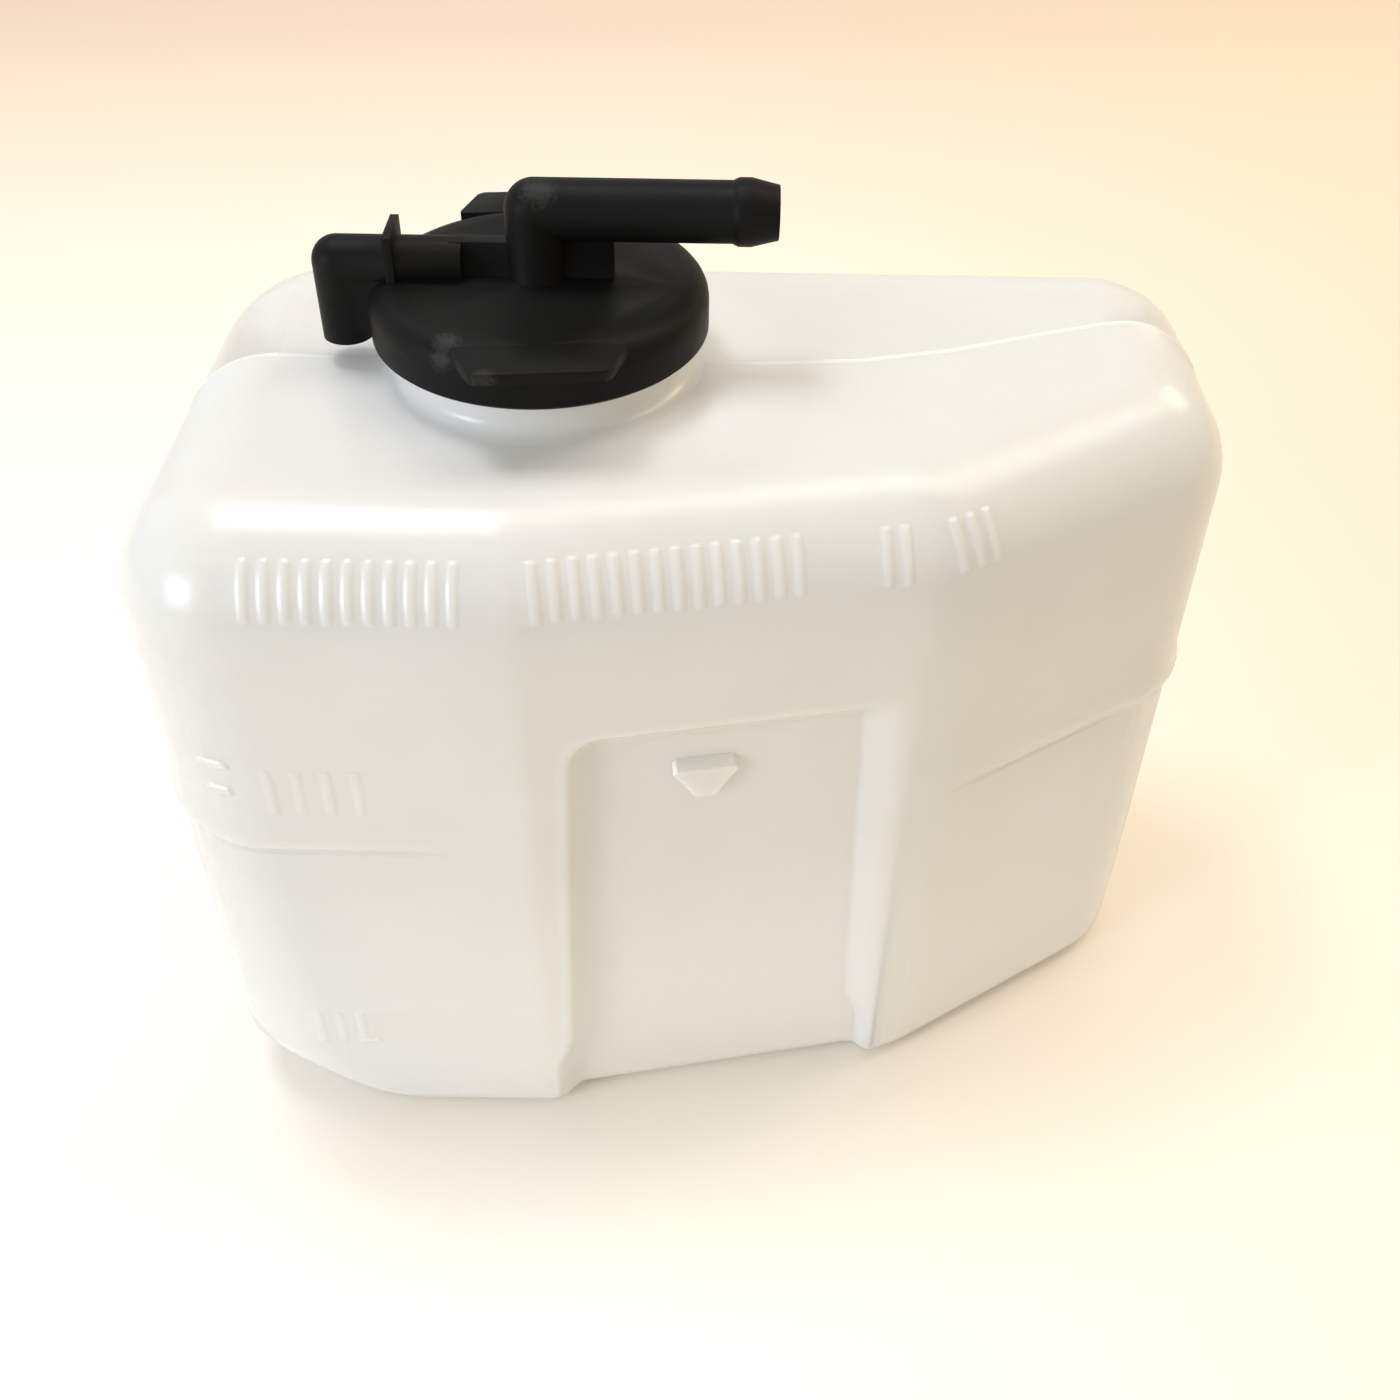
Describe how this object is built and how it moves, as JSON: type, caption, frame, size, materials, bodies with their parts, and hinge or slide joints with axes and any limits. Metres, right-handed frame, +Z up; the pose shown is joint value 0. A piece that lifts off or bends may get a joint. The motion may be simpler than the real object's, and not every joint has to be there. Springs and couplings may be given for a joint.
{
  "type": "coolant expansion tank",
  "caption": "Translucent blow-moulded coolant overflow tank with a faceted front, a bracket recess and a black push-on cap with hose nipple, overflow elbow and dip tube.",
  "frame": {"origin": "on the base plane, straight below the axis of the filler neck", "axes": "+Z up along the filler neck, +X along the hose nipple to the longer end of the tank, -Y towards the faceted front"},
  "size_m": [0.1857, 0.1077, 0.1684],
  "materials": {
    "milky_plastic": "satin translucent milky polyethylene",
    "black_plastic": "satin fine-grained polypropylene",
    "seal_rubber": "matte",
    "tube_rubber": "matte"
  },
  "bodies": {
    "tank": {"tank": "milky_plastic"},
    "cap": {"cap": "black_plastic", "cap_seal": "seal_rubber", "dip_tube": "tube_rubber"}
  },
  "joints": [
    {"name": "cap_lift", "type": "slide", "parent": "tank", "child": "cap", "axis": [0, 0, 1], "range_m": [0, 0.15]}
  ]
}
